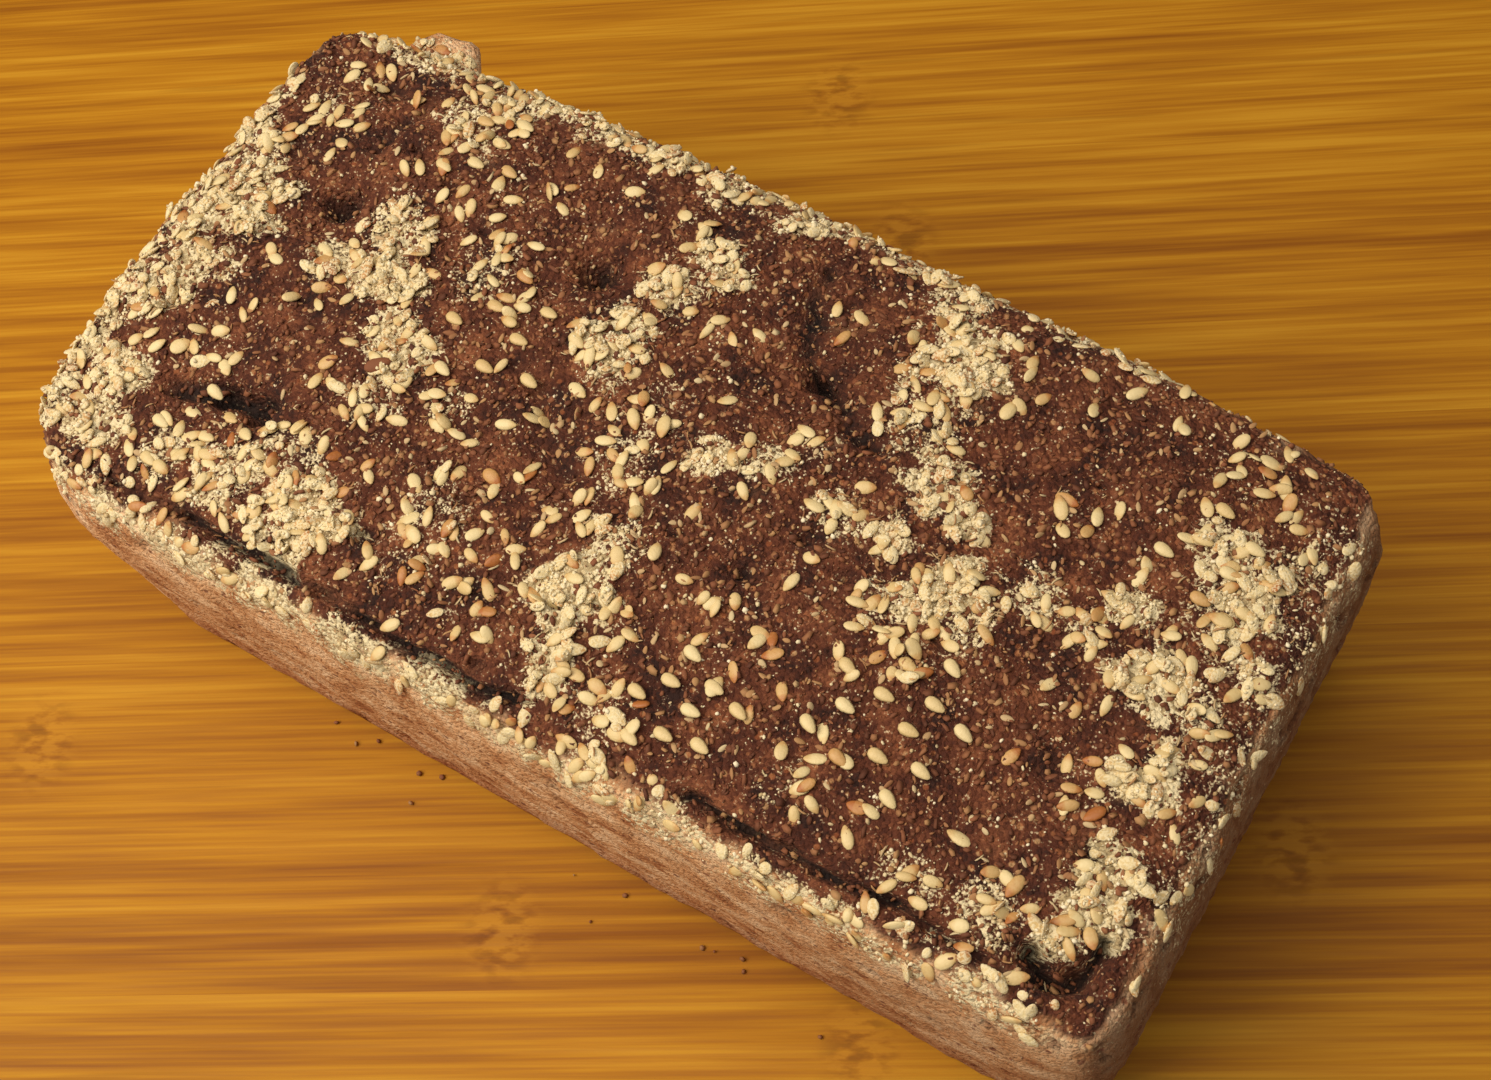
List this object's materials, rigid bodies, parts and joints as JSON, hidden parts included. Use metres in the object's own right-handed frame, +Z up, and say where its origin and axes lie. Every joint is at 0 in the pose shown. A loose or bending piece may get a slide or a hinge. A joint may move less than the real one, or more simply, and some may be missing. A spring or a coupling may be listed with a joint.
{
  "type": "seeded wholemeal loaf on a board",
  "caption": "Small wholemeal tin loaf with a dark seeded crust, resting at an angle on a rectangular bamboo chopping board with rounded corners.",
  "frame": {"origin": "middle of the board's underside, on the worktop", "axes": "+X along the board's length and its bamboo grain, +Y across the board, away from the side that faces the person, +Z up"},
  "size_m": [0.4, 0.3, 0.0841],
  "materials": {
    "bamboo": "satin",
    "crust": "matte",
    "sesame": "satin"
  },
  "bodies": {
    "root": {"bamboo_board": "bamboo", "loaf": "crust", "sesame_seed_01": "sesame", "sesame_seed_02": "sesame", "sesame_seed_03": "sesame", "sesame_seed_04": "sesame", "sesame_seed_05": "sesame", "sesame_seed_06": "sesame", "sesame_seed_07": "sesame", "sesame_seed_08": "sesame", "sesame_seed_09": "sesame", "sesame_seed_10": "sesame", "sesame_seed_11": "sesame", "sesame_seed_12": "sesame", "sesame_seed_13": "sesame", "sesame_seed_14": "sesame", "sesame_seed_15": "sesame", "sesame_seed_16": "sesame", "sesame_seed_17": "sesame", "sesame_seed_18": "sesame", "sesame_seed_19": "sesame", "sesame_seed_20": "sesame", "sesame_seed_21": "sesame", "sesame_seed_22": "sesame", "sesame_seed_23": "sesame", "sesame_seed_24": "sesame", "sesame_seed_25": "sesame", "sesame_seed_26": "sesame", "sesame_seed_27": "sesame", "sesame_seed_28": "sesame", "sesame_seed_29": "sesame", "sesame_seed_30": "sesame", "sesame_seed_31": "sesame", "sesame_seed_32": "sesame", "sesame_seed_33": "sesame", "sesame_seed_34": "sesame", "sesame_seed_35": "sesame", "sesame_seed_36": "sesame", "sesame_seed_37": "sesame", "sesame_seed_38": "sesame", "sesame_seed_39": "sesame", "sesame_seed_40": "sesame", "sesame_seed_41": "sesame", "sesame_seed_42": "sesame", "sesame_seed_43": "sesame", "sesame_seed_44": "sesame", "sesame_seed_45": "sesame", "sesame_seed_46": "sesame", "sesame_seed_47": "sesame", "sesame_seed_48": "sesame", "sesame_seed_49": "sesame", "sesame_seed_50": "sesame", "sesame_seed_51": "sesame", "sesame_seed_52": "sesame", "sesame_seed_53": "sesame", "sesame_seed_54": "sesame", "sesame_seed_55": "sesame"}
  },
  "joints": []
}
